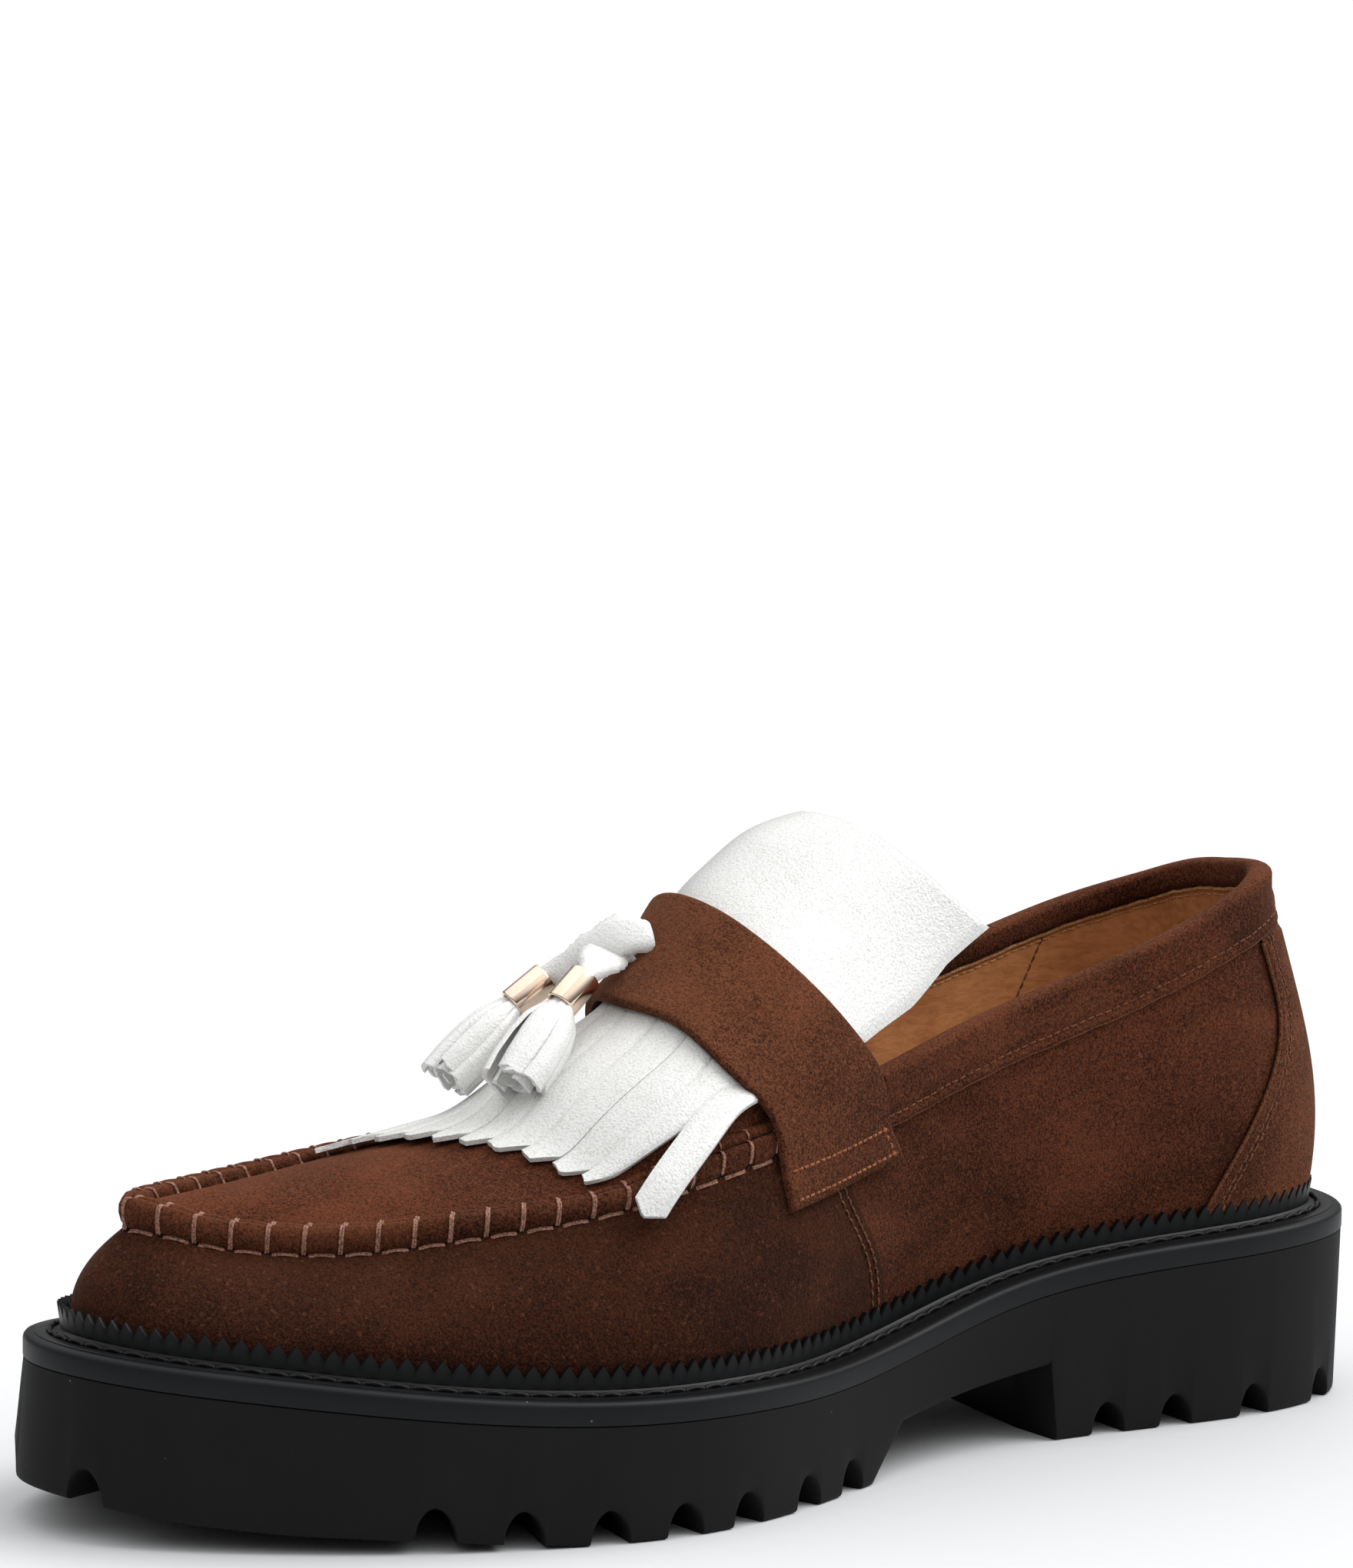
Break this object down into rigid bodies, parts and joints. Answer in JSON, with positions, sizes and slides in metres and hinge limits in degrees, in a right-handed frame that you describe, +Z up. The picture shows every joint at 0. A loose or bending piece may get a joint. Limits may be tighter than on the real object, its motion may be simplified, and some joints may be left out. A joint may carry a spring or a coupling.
{
  "type": "lug sole tassel loafer",
  "caption": "Left slip-on loafer with a hollow suede upper, raised toe seam, saddle strap, fringed flap with tassels and a thick lugged rubber sole.",
  "frame": {"origin": "on the floor, under the centre of the shoe's bounding box", "axes": "+Z up, -Y towards the toe, +Y towards the heel, +X towards the outer side of the left foot"},
  "size_m": [0.1036, 0.2794, 0.1187],
  "materials": {
    "outsole_rubber": "matte black moulded rubber",
    "midsole_rubber": "satin blue-black rubber band",
    "welt_rubber": "satin black rubber, toothed rim",
    "insole_leather": "tan lining leather",
    "suede": "dark brown suede with a soft nap",
    "white_leather": "pearl white leather with a fine sparkle",
    "ferrule_metal": "polished pale rose gold"
  },
  "bodies": {
    "root": {"outsole": "outsole_rubber", "midsole": "midsole_rubber", "welt": "welt_rubber", "insole": "insole_leather", "upper": "suede", "collar_binding": "suede", "heel_counter": "suede", "strap": "suede", "kiltie": "white_leather", "tassel_cord": "white_leather", "ferrule_outer": "ferrule_metal", "ferrule_inner": "ferrule_metal", "skirt_outer": "white_leather", "skirt_inner": "white_leather"}
  },
  "joints": []
}
